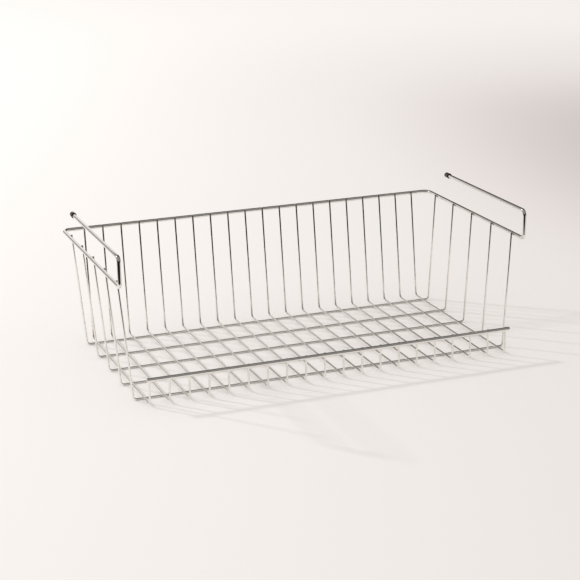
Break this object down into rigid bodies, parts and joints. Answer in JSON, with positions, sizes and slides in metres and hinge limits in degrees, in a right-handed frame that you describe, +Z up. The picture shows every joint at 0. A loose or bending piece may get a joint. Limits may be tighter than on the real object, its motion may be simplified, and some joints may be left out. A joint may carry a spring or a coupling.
{
  "type": "hanging file rack",
  "caption": "Open-fronted chrome wire basket that hangs under a shelf board from two rear-opening hook arms with black end caps.",
  "frame": {"origin": "middle of the width and of the depth, on the plane the rack rests on", "axes": "+X right as seen from the open front, -Y out of the open front, +Z up"},
  "size_m": [0.5378, 0.298, 0.1892],
  "materials": {
    "frame_chrome": "bright nickel-chrome plate on thick drawn steel wire",
    "wire_chrome": "bright nickel-chrome plate on thin drawn steel wire, slightly hazy near the spot welds",
    "cap_black": "soft black moulded plastic, satin"
  },
  "bodies": {
    "root": {"rim_hook_wire": "frame_chrome", "front_lip_wire": "frame_chrome", "end_cap_left": "cap_black", "end_cap_right": "cap_black", "cross_wire_1": "wire_chrome", "cross_wire_2": "wire_chrome", "cross_wire_3": "wire_chrome", "cross_wire_4": "wire_chrome", "cross_wire_5": "wire_chrome", "long_wire_01": "wire_chrome", "long_wire_02": "wire_chrome", "long_wire_03": "wire_chrome", "long_wire_04": "wire_chrome", "long_wire_05": "wire_chrome", "long_wire_06": "wire_chrome", "long_wire_07": "wire_chrome", "long_wire_08": "wire_chrome", "long_wire_09": "wire_chrome", "long_wire_10": "wire_chrome", "long_wire_11": "wire_chrome", "long_wire_12": "wire_chrome", "long_wire_13": "wire_chrome", "long_wire_14": "wire_chrome", "long_wire_15": "wire_chrome", "long_wire_16": "wire_chrome", "long_wire_17": "wire_chrome", "long_wire_18": "wire_chrome", "long_wire_19": "wire_chrome", "long_wire_20": "wire_chrome"}
  },
  "joints": []
}
